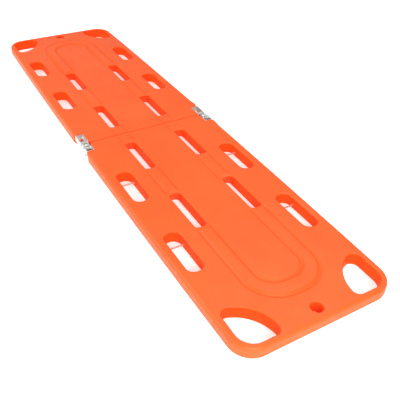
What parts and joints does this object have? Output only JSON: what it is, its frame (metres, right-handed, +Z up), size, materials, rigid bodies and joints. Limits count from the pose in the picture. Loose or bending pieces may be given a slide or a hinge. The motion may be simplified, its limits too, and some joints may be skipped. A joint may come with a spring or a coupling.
{
  "type": "folding spine board",
  "caption": "Orange plastic spine board that folds in half on side hinges, with hand slots, strap slots, corner handholds, strap pins and sliding lock bolts.",
  "frame": {"origin": "on the ground under the middle of the seam between the halves", "axes": "+Y along the board to the head half, +X to the right side, +Z up out of the top face"},
  "size_m": [0.462, 1.84, 0.05],
  "materials": {
    "orange_shell": "satin",
    "orange_plug": "satin",
    "stainless_sheet": "satin",
    "stainless_block": "satin",
    "stainless_rod": "polished",
    "stainless_bolt": "satin",
    "brass_insert": "satin",
    "white_washer": "matte",
    "grey_knob": "satin"
  },
  "bodies": {
    "foot_half": {"foot_half_shell": "orange_shell", "foot_strap_pins": "stainless_rod", "foot_right_bracket": "stainless_sheet", "foot_left_bracket": "stainless_sheet", "foot_bracket_screws": "stainless_bolt", "foot_screw_inserts": "brass_insert", "foot_pivot_bolts": "stainless_bolt", "foot_pivot_inserts": "brass_insert", "foot_pivot_washers": "white_washer", "foot_vent_plug": "orange_plug", "right_lock_guide": "stainless_block", "left_lock_guide": "stainless_block"},
    "hinge_links": {"right_link_inner_plate": "stainless_sheet", "right_link_outer_plate": "stainless_sheet", "left_link_inner_plate": "stainless_sheet", "left_link_outer_plate": "stainless_sheet", "link_spacers": "stainless_rod", "link_rivets": "stainless_bolt"},
    "head_half": {"head_half_shell": "orange_shell", "head_strap_pins": "stainless_rod", "head_right_bracket": "stainless_sheet", "head_left_bracket": "stainless_sheet", "head_bracket_screws": "stainless_bolt", "head_screw_inserts": "brass_insert", "head_pivot_bolts": "stainless_bolt", "head_pivot_inserts": "brass_insert", "head_pivot_washers": "white_washer", "head_vent_plug": "orange_plug", "right_lock_keeper": "stainless_block", "left_lock_keeper": "stainless_block"},
    "right_lock": {"right_lock_bolt": "stainless_rod", "right_lock_knob": "grey_knob"},
    "left_lock": {"left_lock_bolt": "stainless_rod", "left_lock_knob": "grey_knob"}
  },
  "joints": [
    {"name": "foot_fold", "type": "hinge", "parent": "foot_half", "child": "hinge_links", "pos_m": [0, -0.018, 0.038], "axis": [1, 0, 0], "range_deg": [0, 90]},
    {"name": "head_fold", "type": "hinge", "parent": "hinge_links", "child": "head_half", "pos_m": [0, 0.018, 0.038], "axis": [1, 0, 0], "range_deg": [0, 90]},
    {"name": "right_lock_slide", "type": "slide", "parent": "foot_half", "child": "right_lock", "axis": [0, 1, 0], "range_m": [0, 0.024]},
    {"name": "left_lock_slide", "type": "slide", "parent": "foot_half", "child": "left_lock", "axis": [0, 1, 0], "range_m": [0, 0.024]}
  ],
  "couplings": [
    {"joint": "foot_fold", "follows": "head_fold", "ratio": 1}
  ]
}
